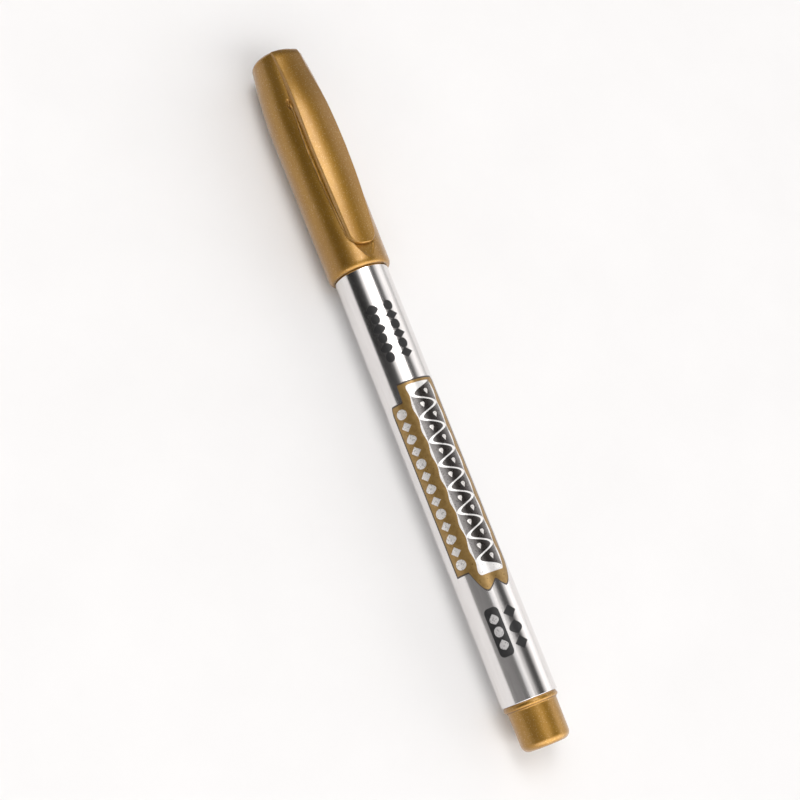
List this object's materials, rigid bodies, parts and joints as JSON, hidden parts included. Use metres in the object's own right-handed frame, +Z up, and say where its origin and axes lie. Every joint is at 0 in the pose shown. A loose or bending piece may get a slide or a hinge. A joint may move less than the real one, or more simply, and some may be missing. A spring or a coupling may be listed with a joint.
{
  "type": "calligraphy marker",
  "caption": "Slim capped paint marker with a metal barrel, clip cap, chisel fibre nib and a pump valve behind it.",
  "frame": {"origin": "centre of the bounding box in plan, at the surface that the marker lies on", "axes": "+X along the pen towards its tail, -X towards the cap and nib, +Z up through the clip, +Y across"},
  "size_m": [0.1396, 0.0126, 0.0139],
  "materials": {
    "gold_plastic": "satin pearl gold moulding",
    "barrel_metal": "fine turned and polished, clear lacquer",
    "natural_plastic": "milky natural moulding",
    "nib_fibre": "bonded fibre, soaked with gold paint at the tip",
    "absorber_fibre": "open bundle of fibres",
    "seal_rubber": "matt",
    "spring_steel": "drawn wire",
    "ball_steel": "polished"
  },
  "bodies": {
    "barrel": {"barrel_tube": "barrel_metal", "tail_plug": "gold_plastic", "grip_section": "gold_plastic", "section_gasket": "seal_rubber", "nose_cone": "natural_plastic", "ink_absorber": "absorber_fibre", "valve_cage": "natural_plastic", "valve_seat": "seal_rubber", "valve_spring": "spring_steel"},
    "cap": {"cap_shell": "gold_plastic", "inner_cap": "natural_plastic"},
    "clip": {"pocket_clip": "gold_plastic"},
    "nib": {"nib": "nib_fibre", "nib_collar": "natural_plastic"},
    "valve": {"valve_plunger": "natural_plastic"},
    "balls": {"mixing_ball_1": "ball_steel", "mixing_ball_2": "ball_steel"}
  },
  "joints": [
    {"name": "cap_pull", "type": "slide", "parent": "barrel", "child": "cap", "axis": [-1, 0, 0], "range_m": [0, 0.048]},
    {"name": "clip_flex", "type": "hinge", "parent": "cap", "child": "clip", "pos_m": [-0.05525, 0, 0.01285], "axis": [0, -1, 0], "range_deg": [0, 4], "stiffness_Nm_per_rad": 0.6, "springref_deg": -1.15},
    {"name": "nib_press", "type": "slide", "parent": "barrel", "child": "nib", "axis": [1, 0, 0], "range_m": [0, 0.0015], "stiffness_N_per_m": 600, "springref_m": -0.0008, "deforming": ["valve_spring"]},
    {"name": "valve_lift", "type": "slide", "parent": "barrel", "child": "valve", "axis": [1, 0, 0], "range_m": [0, 0.0015]},
    {"name": "balls_roll", "type": "slide", "parent": "barrel", "child": "balls", "axis": [-1, 0, 0], "range_m": [0, 0.059]}
  ],
  "couplings": [
    {"joint": "valve_lift", "follows": "nib_press", "ratio": 1}
  ]
}
